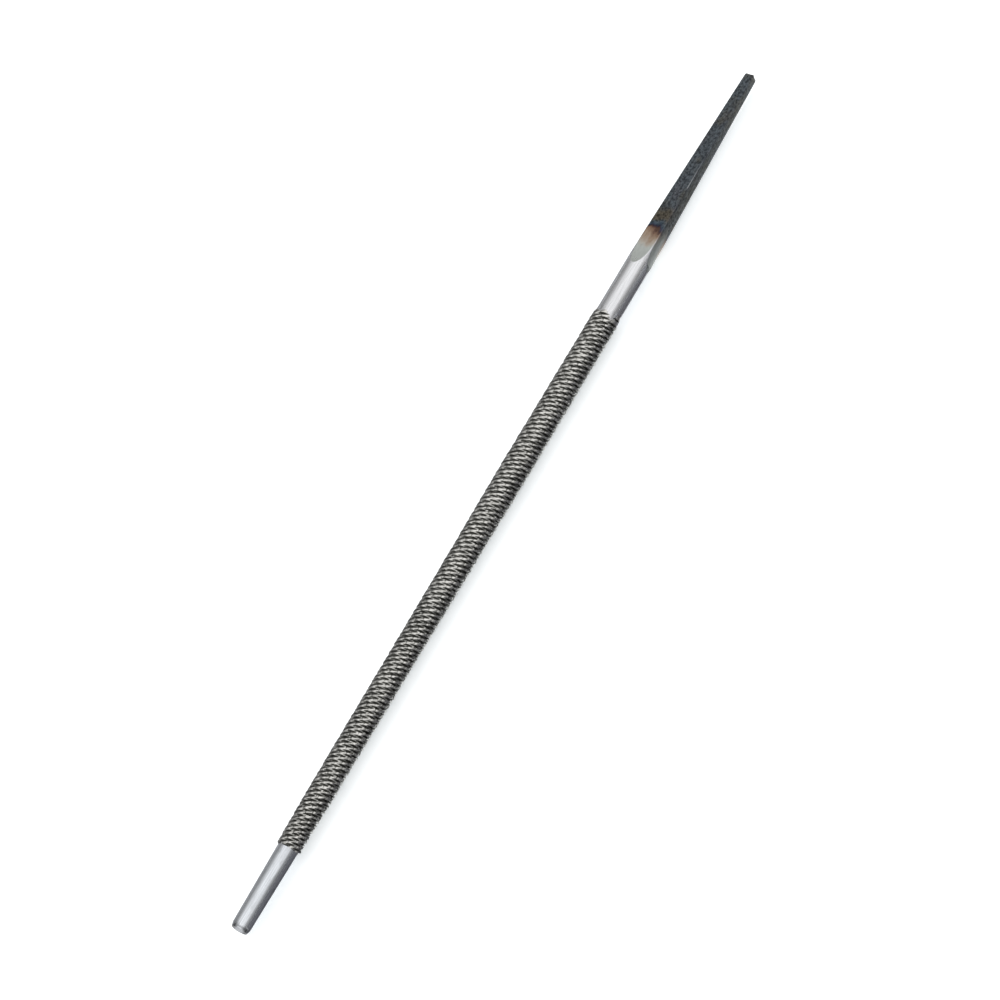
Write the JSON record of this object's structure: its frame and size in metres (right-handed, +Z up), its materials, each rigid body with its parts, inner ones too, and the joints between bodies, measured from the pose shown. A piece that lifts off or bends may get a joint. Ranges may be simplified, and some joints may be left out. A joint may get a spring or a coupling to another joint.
{
  "type": "round file",
  "caption": "Bare round hand file: plain tapered tip, cylindrical body with winding chisel-cut teeth, plain heel, and a square tapered tang that a handle is driven on to.",
  "frame": {"origin": "middle of the file's length, under its axis, on the surface that the file lies on", "axes": "+X along the file towards its tip, which is the direction of the cutting stroke; +Z up; two opposite flats of the tang face +Z and -Z, the other two +Y and -Y"},
  "size_m": [0.2616, 0.0078, 0.0077],
  "materials": {
    "satin_steel": "satin ground steel with fine streaks along the file",
    "cut_steel": "chisel-cut hardened steel, oil-dark in the gullets and bright on the crests",
    "polished_steel": "polished steel",
    "scaled_steel": "dark forge scale with straw, brown and blue temper colours near the heel"
  },
  "bodies": {
    "root": {"plain_tip": "satin_steel", "toothed_taper": "cut_steel", "toothed_body": "cut_steel", "heel": "polished_steel", "tang": "scaled_steel"}
  },
  "joints": []
}
